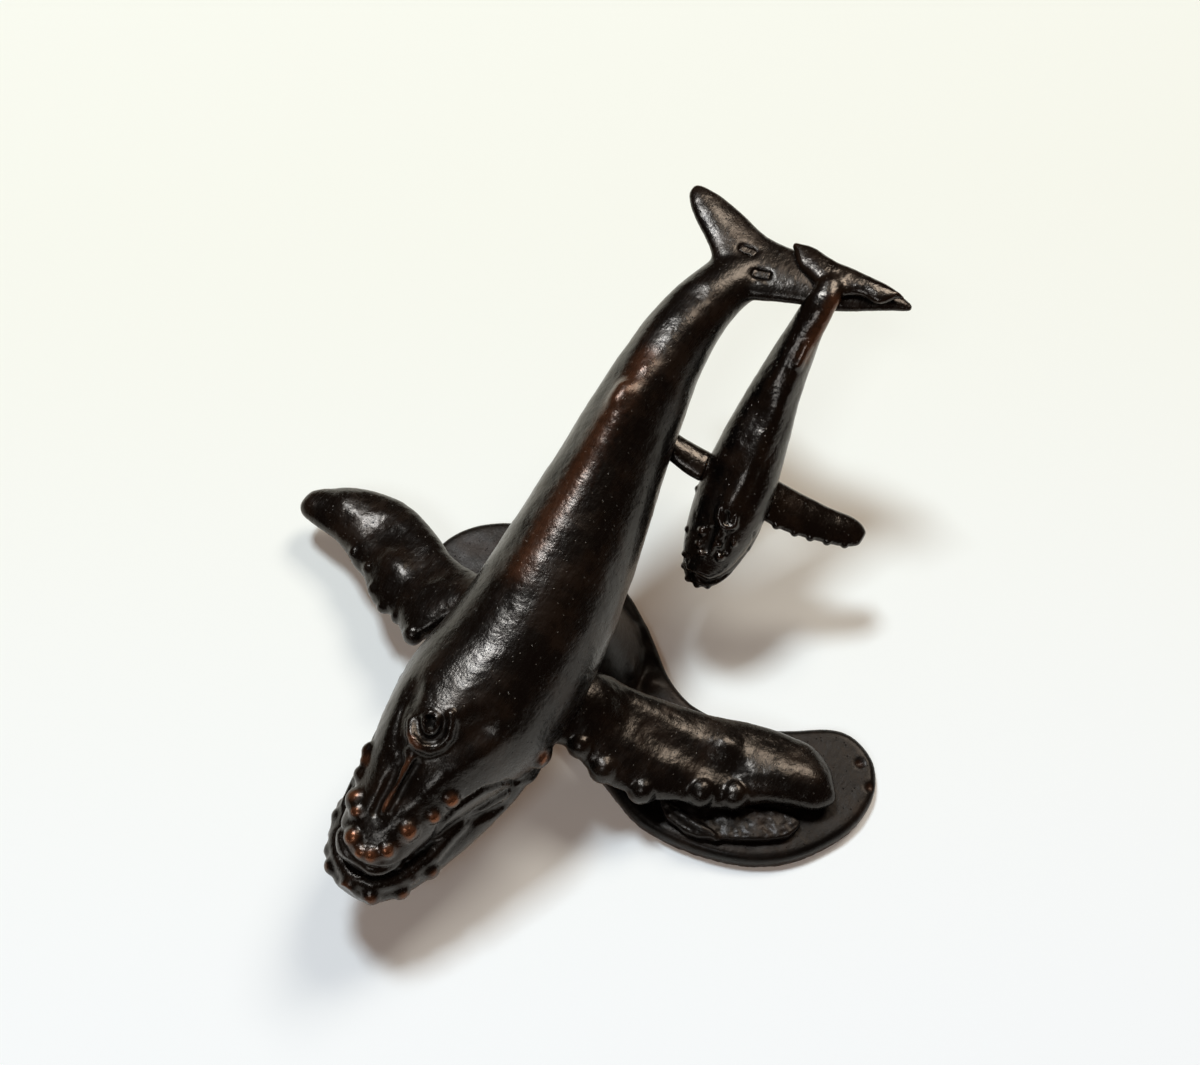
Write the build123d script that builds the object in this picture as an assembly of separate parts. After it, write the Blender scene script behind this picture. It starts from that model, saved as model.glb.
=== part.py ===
"""Whale figurine: a mother humpback and her calf in cast bronze, on a free-form base.

Millimetres, +Z up. Both heads point towards -Y, and a whale's left flank is on its +X side.
The origin is on the base's flat underside, below the mother's belly.
Every casting is cut to the casting that carries it, and dowels or screws cross each seat.
"""
from build123d import *
from dataclasses import dataclass
from math import cos, pi, radians, sin
import os

# Mother, measured from jaw tip to fluke notch in plan
mother_length = 111.5
mother_snout_reach = 52.0
mother_width = 24.0
mother_depth = 25.0
mother_head_height = 20.0
mother_tail_rise = 22.0
mother_dorsal_height = 1.6

# Mother's flippers, measured from a root inside the shoulder
flipper_length = 42.0
flipper_chord = 17.0
flipper_thickness = 6.4
left_flipper_root_side = 6.4
left_flipper_root_drop = 8.5
left_flipper_tip_height = 5.4
right_flipper_root_side = 7.6
right_flipper_root_drop = 9.1
right_flipper_tip_height = 6.4

# Mother's flukes, measured across both lobes
fluke_span = 40.0
fluke_chord = 12.0
fluke_thickness = 3.4
fluke_tip_lift = 2.0

# Calf, measured from jaw tip to tail in plan, and hung from the mother's left fluke
calf_length = 43.0
calf_width = 11.4
calf_depth = 10.4
calf_head_drop = 25.0
calf_drift = 1.2
calf_dorsal_height = 1.0
calf_tail_forward = 4.1
calf_fluke_seat_depth = 0.7

# Calf's flippers and flukes
calf_flipper_length = 20.0
calf_flipper_chord = 6.4
calf_flipper_thickness = 2.8
calf_left_flipper_drop = 8.0
calf_right_flipper_length = 15.5
calf_right_flipper_chord = 4.6
calf_right_flipper_rise = 3.4
calf_flipper_root_drop = 1.0
calf_fluke_span = 19.0
calf_fluke_chord = 6.0
calf_fluke_thickness = 2.2

# Base
base_length = 81.5
base_width = 36.0
base_left_reach = 26.5
base_front_reach = 18.0
base_thickness = 3.0
base_edge_radius = 1.2
mound_length = 27.0
mound_width = 26.0
mound_x = 1.5
mound_y = -0.5
mound_sink = 6.0

# Rock ledge under the left flipper's leading edge
ledge_length = 21.0
ledge_width = 5.0
ledge_height = 1.6
ledge_x = 37.5
ledge_y = -11.5

# Fasteners: plain dowels across the seats, countersunk screws up through the base
dowel_radius = 1.0
dowel_length = 8.0
calf_dowel_radius = 0.6
calf_dowel_length = 4.4
dowel_clearance = 0.05
screw_radius = 1.5
screw_head_radius = 2.8
screw_clearance = 0.15
screw_engagement = 5.0
screw_recess = 0.3
screw_slot_width = 0.6
screw_slot_depth = 0.6
plug_length = 2.6
plug_width = 1.2
plug_depth = 1.4
cut_overrun = 4.0

# Counts and turns
ring_points = 16
blade_points = 14
ledge_turn = 18.0
plug_turns = (4.0, 19.0)
calf_left_flipper_sweep = 17.0
calf_right_flipper_sweep = -3.0

# Trunk of the mother: along her length, sideways of her width, up her tail rise,
# then half width, crown, belly and back ridge
mother_trunk_shares = [
    (0.022, -0.050, -0.018, 0.22, 0.13, 0.14, 0.0),
    (0.038, -0.050, -0.018, 0.38, 0.24, 0.24, 0.0),
    (0.072, -0.046, -0.010, 0.47, 0.39, 0.40, 0.0),
    (0.118, -0.036, 0.000, 0.59, 0.61, 0.56, 0.0),
    (0.167, -0.020, 0.014, 0.74, 0.85, 0.72, 0.0),
    (0.226, 0.008, 0.027, 0.90, 0.98, 0.88, 0.0),
    (0.290, 0.042, 0.055, 1.00, 1.01, 0.96, 0.0),
    (0.353, 0.067, 0.110, 0.97, 0.99, 0.96, 0.0),
    (0.425, 0.067, 0.220, 0.90, 0.93, 0.93, 0.0),
    (0.507, 0.042, 0.345, 0.81, 0.85, 0.85, 0.1),
    (0.588, 0.008, 0.470, 0.71, 0.76, 0.76, 0.3),
    (0.670, -0.025, 0.620, 0.61, 0.65, 0.65, 0.9),
    (0.742, -0.042, 0.764, 0.53, 0.54, 0.54, 0.5),
    (0.805, -0.042, 0.873, 0.46, 0.44, 0.44, 0.3),
    (0.860, -0.010, 0.945, 0.41, 0.34, 0.34, 0.1),
    (0.905, 0.045, 0.986, 0.38, 0.26, 0.26, 0.0),
    (0.946, 0.125, 1.010, 0.39, 0.18, 0.18, 0.0),
    (0.977, 0.192, 1.020, 0.35, 0.11, 0.11, 0.0),
]
mother_tail_joint_share = 0.868

# Trunk of the calf, with the rise counted up from its head
calf_trunk_shares = [
    (0.020, 1.00, 0.000, 0.32, 0.22, 0.22, 0.0),
    (0.060, 0.94, 0.015, 0.58, 0.42, 0.40, 0.0),
    (0.125, 0.85, 0.060, 0.80, 0.72, 0.68, 0.0),
    (0.205, 0.72, 0.130, 0.94, 0.92, 0.88, 0.0),
    (0.285, 0.50, 0.205, 1.00, 1.00, 0.96, 0.0),
    (0.375, 0.12, 0.300, 0.98, 1.00, 0.96, 0.0),
    (0.490, -0.35, 0.415, 0.86, 0.89, 0.85, 0.0),
    (0.605, -0.72, 0.535, 0.72, 0.75, 0.71, 0.2),
    (0.720, -0.78, 0.680, 0.58, 0.61, 0.58, 0.8),
    (0.815, -0.52, 0.850, 0.46, 0.48, 0.46, 0.3),
    (0.890, -0.20, 0.970, 0.39, 0.37, 0.36, 0.0),
    (0.950, 0.00, 1.005, 0.39, 0.26, 0.26, 0.0),
    (1.000, 0.02, 1.000, 0.36, 0.17, 0.17, 0.0),
]
calf_tail_joint_share = 0.790

# Lower jaw of either whale: along the length, half width, drop, lip and chin
jaw_shares = [
    (0.000, 0.20, 0.46, 0.11, 0.13),
    (0.016, 0.40, 0.47, 0.19, 0.22),
    (0.050, 0.60, 0.49, 0.26, 0.34),
    (0.100, 0.76, 0.49, 0.37, 0.43),
    (0.154, 0.87, 0.47, 0.42, 0.50),
    (0.208, 0.93, 0.44, 0.39, 0.53),
    (0.262, 0.93, 0.42, 0.35, 0.54),
    (0.317, 0.80, 0.42, 0.24, 0.53),
]

# Flippers: out along the span, then leading edge, trailing edge, drop and thickness
left_flipper_shares = [
    (0.000, 0.46, 0.24, 0.00, 1.00),
    (0.095, 0.50, 0.26, 0.14, 1.00),
    (0.190, 0.52, 0.31, 0.32, 0.98),
    (0.274, 0.54, 0.37, 0.46, 0.96),
    (0.357, 0.50, 0.44, 0.58, 0.94),
    (0.440, 0.44, 0.50, 0.68, 0.92),
    (0.524, 0.31, 0.59, 0.77, 0.90),
    (0.607, 0.24, 0.68, 0.84, 0.88),
    (0.690, 0.12, 0.74, 0.90, 0.87),
    (0.770, -0.06, 0.78, 0.94, 0.85),
    (0.850, -0.20, 0.79, 0.97, 0.80),
    (0.920, -0.26, 0.71, 0.99, 0.70),
    (0.970, -0.33, 0.58, 1.00, 0.48),
    (1.000, -0.41, 0.48, 1.00, 0.16),
]
right_flipper_shares = [
    (0.000, 0.35, 0.35, 0.00, 1.00),
    (0.110, 0.37, 0.40, 0.16, 1.00),
    (0.220, 0.35, 0.45, 0.34, 0.97),
    (0.290, 0.42, 0.49, 0.45, 0.95),
    (0.360, 0.29, 0.56, 0.55, 0.93),
    (0.430, 0.25, 0.65, 0.64, 0.91),
    (0.505, 0.19, 0.74, 0.72, 0.89),
    (0.580, 0.04, 0.81, 0.79, 0.87),
    (0.665, -0.06, 0.85, 0.86, 0.85),
    (0.750, -0.17, 0.83, 0.91, 0.83),
    (0.850, -0.22, 0.76, 0.96, 0.78),
    (0.930, -0.25, 0.65, 0.99, 0.66),
    (0.982, -0.30, 0.56, 1.00, 0.44),
    (1.000, -0.37, 0.48, 1.00, 0.16),
]
calf_flipper_shares = [
    (0.000, 0.50, 0.50, 0.00, 1.00),
    (0.250, 0.58, 0.50, 0.25, 1.00),
    (0.400, 0.66, 0.46, 0.42, 0.96),
    (0.550, 0.63, 0.43, 0.58, 0.92),
    (0.700, 0.55, 0.43, 0.74, 0.88),
    (0.850, 0.45, 0.43, 0.88, 0.82),
    (0.950, 0.34, 0.32, 0.97, 0.62),
    (1.000, 0.20, 0.16, 1.00, 0.34),
]

# Flukes, from the right tip to the left tip: across the span, leading edge, trailing edge,
# lift and thickness, with the edges counted back from the joint of the tail
fluke_shares = [
    (-0.430, 1.200, 1.380, 1.00, 0.34),
    (-0.375, 0.980, 1.420, 0.92, 0.62),
    (-0.290, 0.770, 1.410, 0.62, 0.76),
    (-0.200, 0.510, 1.340, 0.30, 0.88),
    (-0.075, 0.230, 1.220, 0.05, 1.00),
    (0.050, 0.330, 1.230, 0.00, 0.98),
    (0.175, 0.500, 1.300, 0.00, 0.90),
    (0.300, 0.640, 1.310, 0.00, 0.78),
    (0.425, 0.880, 1.280, 0.00, 0.60),
    (0.540, 1.110, 1.190, 0.00, 0.30),
]
calf_fluke_shares = [
    (-0.450, 0.92, 1.12, 0.00, 0.40),
    (-0.370, 0.66, 1.16, 0.00, 0.70),
    (-0.240, 0.36, 1.18, 0.00, 0.90),
    (-0.110, 0.16, 1.10, 0.00, 1.00),
    (0.020, 0.05, 1.10, 0.00, 1.00),
    (0.150, 0.32, 1.11, 0.00, 0.95),
    (0.310, 0.46, 1.10, 0.00, 0.85),
    (0.440, 0.62, 1.05, 0.00, 0.65),
    (0.540, 0.84, 0.96, 0.00, 0.36),
]

# Edge of the base: from its left end along the length, from its front across the width
base_outline_shares = [
    (0.005, 0.600), (0.018, 0.750), (0.095, 0.930), (0.215, 1.000),
    (0.350, 0.940), (0.470, 0.780), (0.590, 0.590), (0.700, 0.590),
    (0.807, 0.700), (0.895, 0.800), (0.965, 0.735), (0.995, 0.560),
    (0.965, 0.320), (0.880, 0.110), (0.765, 0.010), (0.640, 0.000),
    (0.550, 0.075), (0.430, 0.160), (0.310, 0.185), (0.190, 0.210),
    (0.085, 0.340),
]

# Mound: up its height, and its size across
mound_shares = [
    (0.00, 1.00),
    (0.16, 0.96),
    (0.32, 0.86),
    (0.60, 0.71),
    (1.00, 0.58),
]

# Ledge outline, of its length and width
ledge_outline_shares = [
    (-0.50, 0.18), (-0.41, -0.40), (-0.20, -0.74), (-0.02, -0.69), (0.22, -0.47),
    (0.45, -0.09), (0.51, 0.36), (0.41, 0.52), (0.18, 0.50), (-0.06, 0.40), (-0.28, 0.36),
]

# How far the spine is read each way for its direction
heading_share = 0.035

# Places of the flippers' roots and of the pins along what they join
left_flipper_along_share = 0.386
right_flipper_along_share = 0.404
screw_mound_shares = (-0.17, 0.17)
flipper_dowel_share = 0.05
calf_flipper_dowel_share = 0.28
calf_flipper_along_share = 0.345
calf_fluke_across_share = 0.245
calf_fluke_chord_share = 1.00
tie_dowel_share = 0.70
plug_across_shares = (-0.105, -0.01)
plug_chord_shares = (0.81, 0.58)


def between(rows, share, column):
    """Value of one column of a table at a share along it, in a straight line between rows."""
    low = rows[0]
    high = rows[1]
    for near, far in zip(rows, rows[1:]):
        if near[0] <= share:
            low = near
            high = far
    part = (share - low[0]) / (high[0] - low[0])
    return low[column] + (high[column] - low[column]) * part


@dataclass
class Whale:
    """Pose and size of one whale: where its spine starts, how it runs and how thick it is."""

    rows: list
    start: Vector
    length: float
    sway: float
    rise: float
    width: float
    depth: float
    dorsal: float

    def spine(self, share):
        """Point of the spine at a share of the length."""
        side = between(self.rows, share, 1) * self.sway
        up = between(self.rows, share, 2) * self.rise
        return self.start + Vector(side, share * self.length, up)

    def heading(self, share):
        """Direction of the spine, towards the tail, at a share of the length."""
        ahead = self.spine(share + heading_share)
        return (ahead - self.spine(share - heading_share)).normalized()

    def frame(self, share):
        """Sideways and upward directions, square to the spine."""
        along = self.heading(share)
        side = along.cross(Vector(0, 0, 1)).normalized()
        return side, side.cross(along)

    def belly(self, share):
        """Lowest point of the trunk at a share of the length."""
        side, up = self.frame(share)
        return self.spine(share) - up * between(self.rows, share, 5) * self.depth / 2

    def belly_height(self, along):
        """Height of the trunk's underside at a place along the length."""
        return self.belly((along - self.start.Y) / self.length).Z


def closed_curve(points):
    """One smooth closed wire through points."""
    return Wire([Edge.make_spline(points, periodic=True)])


def ring(centre, side, up, half_width, crown, belly, ridge=0):
    """Closed trunk section, with its own crown and belly and a narrow ridge on the back."""
    points = []
    for step in range(ring_points):
        turn = 2 * pi * step / ring_points
        height = max(sin(turn), 0) * crown + min(sin(turn), 0) * belly
        height += ridge * max(sin(turn), 0) ** 8
        points.append(centre + side * half_width * cos(turn) + up * height)
    return closed_curve(points)


def trunk(whale):
    """Trunk of a whale, from its upper jaw to the end of its tail stock."""
    rings = []
    for row in whale.rows:
        side, up = whale.frame(row[0])
        half = whale.depth / 2
        rings.append(ring(whale.spine(row[0]), side, up, row[3] * whale.width / 2,
                          row[4] * half, row[5] * half, row[6] * whale.dorsal))
    return Solid.make_loft(rings)


def lower_jaw(whale):
    """Lower jaw, wider and longer than the upper one, running back into the throat."""
    rings = []
    for along, width, drop, lip, chin in jaw_shares:
        side, up = whale.frame(along)
        half = whale.depth / 2
        centre = whale.spine(along) - up * drop * half
        rings.append(ring(centre, side, up, width * whale.width / 2, lip * half, chin * half))
    return Solid.make_loft(rings)


def blade(sections):
    """Flipper or fluke through sections of leading edge, trailing edge and half thickness."""
    rings = []
    for lead, trail, half_thickness in sections:
        centre = (lead + trail) / 2
        reach = (lead - trail) / 2
        points = []
        for step in range(blade_points):
            turn = 2 * pi * step / blade_points
            points.append(centre + reach * cos(turn) + Vector(0, 0, half_thickness * sin(turn)))
        rings.append(closed_curve(points))
    return Solid.make_loft(rings)


def flipper_sections(rows, root, outward, length, chord, thickness, fall):
    """Sections of a flipper that starts at a root and runs out to one side."""
    sections = []
    for span, lead, trail, drop, thick in rows:
        middle = root + outward * span * length - Vector(0, 0, drop * fall)
        front = middle - Vector(0, lead * chord, 0)
        back = middle + Vector(0, trail * chord, 0)
        sections.append((front, back, thick * thickness / 2))
    return sections


def fluke_sections(rows, centre, span, chord, thickness, lift):
    """Sections of a pair of flukes, from the right tip to the left tip."""
    sections = []
    for across, lead, trail, rise, thick in rows:
        middle = centre + Vector(across * span, 0, rise * lift)
        front = middle + Vector(0, lead * chord, 0)
        back = middle + Vector(0, trail * chord, 0)
        sections.append((front, back, thick * thickness / 2))
    return sections


def flipper_middle(rows, root, outward, length, chord, fall, share):
    """Middle of a flipper's chord at a share of its span."""
    lead = between(rows, share, 1)
    trail = between(rows, share, 2)
    drop = between(rows, share, 3)
    return root + outward * share * length + Vector(0, (trail - lead) * chord / 2, -drop * fall)


def flipper_dowel(rows, root, outward, length, chord, fall, share):
    """Middle and direction of the dowel that crosses a flipper's seat, along its slope."""
    inner = flipper_middle(rows, root, outward, length, chord, fall, share - heading_share)
    outer = flipper_middle(rows, root, outward, length, chord, fall, share + heading_share)
    return (inner + outer) / 2, (outer - inner).normalized()


def dowel(middle, direction, radius, length):
    """Plain round pin, centred on a seat."""
    plane = Plane(middle, z_dir=direction)
    return plane * Cylinder(radius, length)


def dowel_hole(middle, direction, radius, length):
    """Socket for a dowel, larger by the clearance all round."""
    return dowel(middle, direction, radius + dowel_clearance, length + 2 * dowel_clearance)


mother = Whale(mother_trunk_shares, Vector(0, -mother_snout_reach, mother_head_height),
               mother_length, mother_width, mother_tail_rise, mother_width, mother_depth,
               mother_dorsal_height)

# Mother's trunk, cut at the tail joint into body and flukes
tail_joint_point = mother.spine(mother_tail_joint_share)
tail_joint_heading = mother.heading(mother_tail_joint_share)
tail_joint = Plane(tail_joint_point, z_dir=tail_joint_heading)
mother_trunk = trunk(mother)
mother_body = split(mother_trunk, tail_joint, keep=Keep.BOTTOM) + lower_jaw(mother)
fluke_centre = Vector(mother.spine(1).X, tail_joint_point.Y, mother.spine(1).Z)
mother_flukes = split(mother_trunk, tail_joint, keep=Keep.TOP)
mother_flukes += blade(fluke_sections(fluke_shares, fluke_centre, fluke_span, fluke_chord,
                                      fluke_thickness, fluke_tip_lift))

# Base: flat plate with a rounded rim, and a mound that carries the belly
outline = []
for along, across in base_outline_shares:
    outline.append(Vector(along * base_length - base_left_reach,
                          across * base_width - base_front_reach, 0))
base = extrude(Face(closed_curve(outline)), base_thickness, dir=(0, 0, 1))
base = fillet(base.edges().group_by(Axis.Z)[-1], base_edge_radius)
mound_height = mother.belly_height(mound_y) + mound_sink
mound_rings = []
for up, size in mound_shares:
    place = Pos(mound_x, mound_y, up * mound_height)
    mound_rings.append(place * Ellipse(size * mound_length / 2, size * mound_width / 2))
base += loft(mound_rings)
base -= mother_body

# Mother's flippers, seated on the shoulders and on the base
left_root = mother.spine(left_flipper_along_share)
left_root += Vector(left_flipper_root_side, 0, -left_flipper_root_drop)
right_root = mother.spine(right_flipper_along_share)
right_root -= Vector(right_flipper_root_side, 0, right_flipper_root_drop)
left_fall = left_root.Z - left_flipper_tip_height
right_fall = right_root.Z - right_flipper_tip_height
left_edges = flipper_sections(left_flipper_shares, left_root, Vector(1, 0, 0), flipper_length,
                              flipper_chord, flipper_thickness, left_fall)
right_edges = flipper_sections(right_flipper_shares, right_root, Vector(-1, 0, 0),
                               flipper_length, flipper_chord, flipper_thickness, right_fall)
mother_left_flipper = blade(left_edges) - mother_body - base
mother_right_flipper = blade(right_edges) - mother_body - base

# Calf, hung by its flukes from the top of the mother's left fluke
seat_thickness = between(fluke_shares, calf_fluke_across_share, 4) * fluke_thickness
calf_tail = fluke_centre + Vector(calf_fluke_across_share * fluke_span,
                                  calf_fluke_chord_share * fluke_chord,
                                  (seat_thickness + calf_fluke_thickness) / 2
                                  - calf_fluke_seat_depth)
calf = Whale(calf_trunk_shares, calf_tail - Vector(0, calf_length, calf_head_drop),
             calf_length, calf_drift, calf_head_drop, calf_width, calf_depth,
             calf_dorsal_height)
calf_joint_point = calf.spine(calf_tail_joint_share)
calf_joint_heading = calf.heading(calf_tail_joint_share)
calf_joint = Plane(calf_joint_point, z_dir=calf_joint_heading)
calf_trunk = trunk(calf)
calf_body = split(calf_trunk, calf_joint, keep=Keep.BOTTOM) + lower_jaw(calf) - mother_flukes
calf_fluke_centre = calf_tail - Vector(0, calf_tail_forward, 0)
calf_flukes = split(calf_trunk, calf_joint, keep=Keep.TOP)
calf_flukes += blade(fluke_sections(calf_fluke_shares, calf_fluke_centre, calf_fluke_span,
                                    calf_fluke_chord, calf_fluke_thickness, 0))
calf_flukes -= mother_flukes

# Calf's flippers, the right one reaching to the mother's flank
calf_root = calf.spine(calf_flipper_along_share) - Vector(0, 0, calf_flipper_root_drop)
sweep = radians(calf_left_flipper_sweep)
left_outward = Vector(cos(sweep), sin(sweep), 0)
sweep = radians(calf_right_flipper_sweep)
right_outward = Vector(-cos(sweep), sin(sweep), 0)
calf_left_edges = flipper_sections(calf_flipper_shares, calf_root, left_outward,
                                   calf_flipper_length, calf_flipper_chord,
                                   calf_flipper_thickness, calf_left_flipper_drop)
calf_right_edges = flipper_sections(calf_flipper_shares, calf_root, right_outward,
                                    calf_right_flipper_length, calf_right_flipper_chord,
                                    calf_flipper_thickness, -calf_right_flipper_rise)
calf_left_flipper = blade(calf_left_edges) - calf_body
calf_right_flipper = blade(calf_right_edges) - calf_body - mother_body

# Rock ledge on the base, against the left flipper's leading edge
ledge_outline = []
for along, across in ledge_outline_shares:
    ledge_outline.append(Vector(along * ledge_length, across * ledge_width, 0))
rock_ledge = extrude(Face(closed_curve(ledge_outline)), ledge_height, dir=(0, 0, 1))
rock_ledge = Pos(ledge_x, ledge_y, base_thickness) * Rot(0, 0, ledge_turn) * rock_ledge
rock_ledge -= mother_left_flipper

# Plugs in the tail, left where the core pins were drawn, flush with the skin
tail_plugs = []
for across, chord, turn in zip(plug_across_shares, plug_chord_shares, plug_turns):
    floor = fluke_centre + Vector(across * fluke_span, chord * fluke_chord,
                                  fluke_thickness / 2 - plug_depth)
    pocket = Pos(floor) * Rot(0, 0, turn) * Box(
        plug_length, plug_width, plug_depth + cut_overrun,
        align=(Align.CENTER, Align.CENTER, Align.MIN))
    tail_plugs.append(mother_flukes & pocket)
    mother_flukes -= pocket


# Dowels across the seats, with a socket in each of the two castings
pins = {}
seats = {
    "mother_left_flipper_dowel": flipper_dowel(
        left_flipper_shares, left_root, Vector(1, 0, 0), flipper_length, flipper_chord,
        left_fall, flipper_dowel_share),
    "mother_right_flipper_dowel": flipper_dowel(
        right_flipper_shares, right_root, Vector(-1, 0, 0), flipper_length, flipper_chord,
        right_fall, flipper_dowel_share),
    "mother_fluke_dowel": (tail_joint_point, tail_joint_heading),
}
for name, (middle, direction) in seats.items():
    pins[name] = dowel(middle, direction, dowel_radius, dowel_length)
    hole = dowel_hole(middle, direction, dowel_radius, dowel_length)
    base -= hole
    mother_body -= hole
    mother_left_flipper -= hole
    mother_right_flipper -= hole
    mother_flukes -= hole

calf_seats = {
    "calf_left_flipper_dowel": flipper_dowel(
        calf_flipper_shares, calf_root, left_outward, calf_flipper_length,
        calf_flipper_chord, calf_left_flipper_drop, calf_flipper_dowel_share),
    "calf_right_flipper_dowel": flipper_dowel(
        calf_flipper_shares, calf_root, right_outward, calf_right_flipper_length,
        calf_right_flipper_chord, -calf_right_flipper_rise, calf_flipper_dowel_share),
    "calf_fluke_dowel": (calf_joint_point, calf_joint_heading),
}
for name, (middle, direction) in calf_seats.items():
    pins[name] = dowel(middle, direction, calf_dowel_radius, calf_dowel_length)
    hole = dowel_hole(middle, direction, calf_dowel_radius, calf_dowel_length)
    calf_body -= hole
    calf_left_flipper -= hole
    calf_right_flipper -= hole
    calf_flukes -= hole

# Upright dowel that ties the calf's flukes to the mother's left fluke
tie_middle = calf_fluke_centre + Vector(0, tie_dowel_share * calf_fluke_chord,
                                        calf_fluke_seat_depth - calf_fluke_thickness / 2)
tie_length = (seat_thickness + calf_fluke_thickness) / 2
pins["calf_tie_dowel"] = dowel(tie_middle, Vector(0, 0, 1), calf_dowel_radius, tie_length)
tie_hole = dowel_hole(tie_middle, Vector(0, 0, 1), calf_dowel_radius, tie_length)
mother_flukes -= tie_hole
calf_flukes -= tie_hole

# Countersunk screws from below, through the base and the mound into the belly
base_screws = []
for share in screw_mound_shares:
    screw_y = mound_y + share * mound_width
    foot = Pos(mound_x, screw_y, screw_recess)
    shank_length = mother.belly_height(screw_y) + screw_engagement - screw_recess
    head_height = screw_head_radius - screw_radius
    low = (Align.CENTER, Align.CENTER, Align.MIN)
    screw = Cylinder(screw_radius, shank_length, align=low)
    screw += Cone(screw_head_radius, screw_radius, head_height, align=low)
    screw -= Box(2 * screw_head_radius, screw_slot_width, 2 * screw_slot_depth)
    base_screws.append(foot * screw)
    through = Cylinder(screw_radius + screw_clearance, shank_length, align=low)
    through += Cone(screw_head_radius + screw_clearance, screw_radius + screw_clearance,
                    head_height, align=low)
    through += Cylinder(screw_head_radius + screw_clearance, 2 * screw_recess)
    base -= foot * through
    tapped = Cylinder(screw_radius + dowel_clearance, shank_length + screw_clearance, align=low)
    mother_body -= foot * tapped

parts = {
    "base": base,
    "rock_ledge": rock_ledge,
    "base_screws": Compound(children=base_screws),
    "mother_body": mother_body,
    "mother_left_flipper": mother_left_flipper,
    "mother_right_flipper": mother_right_flipper,
    "mother_flukes": mother_flukes,
    "tail_plugs": Compound(children=tail_plugs),
    "calf_body": calf_body,
    "calf_left_flipper": calf_left_flipper,
    "calf_right_flipper": calf_right_flipper,
    "calf_flukes": calf_flukes,
    **pins,
}
os.makedirs("parts", exist_ok=True)
for name, shape in parts.items():
    export_step(shape, f"parts/{name}.step")
    print(name, "volume", round(shape.volume, 1), "solids", len(shape.solids()))
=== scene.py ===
"""Looks of the whale figurine: a mother humpback and her calf in cast, patinated bronze.

Each casting starts as a copy of its CAD node, gets one smooth skin, and is then worked over
as a wax is: knobs are added, lines are cut, and the high places are rubbed bright. Millimetres
are used for sizes, and metres for everything that Blender holds.
"""

import logging
import math
from dataclasses import dataclass, field
from enum import Enum

import bpy
import numpy as np
from mathutils import Matrix, Vector
from mathutils.bvhtree import BVHTree


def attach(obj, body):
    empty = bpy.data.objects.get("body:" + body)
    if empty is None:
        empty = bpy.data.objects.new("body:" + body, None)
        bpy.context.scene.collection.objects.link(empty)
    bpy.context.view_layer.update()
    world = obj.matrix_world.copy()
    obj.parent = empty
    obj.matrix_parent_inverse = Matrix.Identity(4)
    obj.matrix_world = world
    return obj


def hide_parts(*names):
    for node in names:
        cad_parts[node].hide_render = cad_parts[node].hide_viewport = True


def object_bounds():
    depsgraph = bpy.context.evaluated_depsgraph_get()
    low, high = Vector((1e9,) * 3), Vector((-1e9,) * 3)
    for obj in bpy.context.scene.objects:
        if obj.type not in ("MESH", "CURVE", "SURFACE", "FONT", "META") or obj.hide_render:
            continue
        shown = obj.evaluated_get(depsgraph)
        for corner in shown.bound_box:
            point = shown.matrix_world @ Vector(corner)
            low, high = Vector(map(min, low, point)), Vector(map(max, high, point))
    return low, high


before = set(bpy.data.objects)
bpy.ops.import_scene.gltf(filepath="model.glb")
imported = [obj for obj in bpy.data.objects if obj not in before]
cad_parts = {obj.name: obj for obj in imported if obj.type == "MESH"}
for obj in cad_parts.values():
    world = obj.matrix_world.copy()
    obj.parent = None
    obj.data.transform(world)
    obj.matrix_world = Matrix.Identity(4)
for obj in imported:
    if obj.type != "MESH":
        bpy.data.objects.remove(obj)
CAD_BOX = [[float(value) for value in corner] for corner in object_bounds()]
MM = 0.001
log = logging.getLogger("whale_figurine")

# Where a pixel's ray misses the skin, its closest point is looked for on this stretch, in metres
SEARCH_FROM, SEARCH_STEP, SEARCH_COUNT = 0.18, 0.001, 160
# Share by which one round of easing pulls a vertex to its neighbours
EASING = 0.6
# Depths at which a hollow starts and is full, as shares of the heights of rubbing
HOLLOW_FROM, HOLLOW_TO = 0.5, 1.2
CREASE_ANGLE = math.radians(50)
LAMP_AIM = Vector((0, 0.01, 0.02))

# Pixels are places in the photograph. A row follows a line, and a lump adds a radius in millimetres
Pixel = tuple[float, float]
Row = tuple[Pixel, ...]
Lump = tuple[float, float, float]
Lumps = tuple[Lump, ...]
Line = list[Vector]
Socket = bpy.types.NodeSocket
Tree = bpy.types.NodeTree
Material = bpy.types.Material


class Fineness(Enum):
    """Voxel size of a casting's skin, in millimetres."""

    BASE = 0.42
    MOTHER = 0.33
    FLIPPER = 0.27
    CALF = 0.21
    CALF_BLADE = 0.16
    LEDGE = 0.20
    PLUG = 0.11


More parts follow.
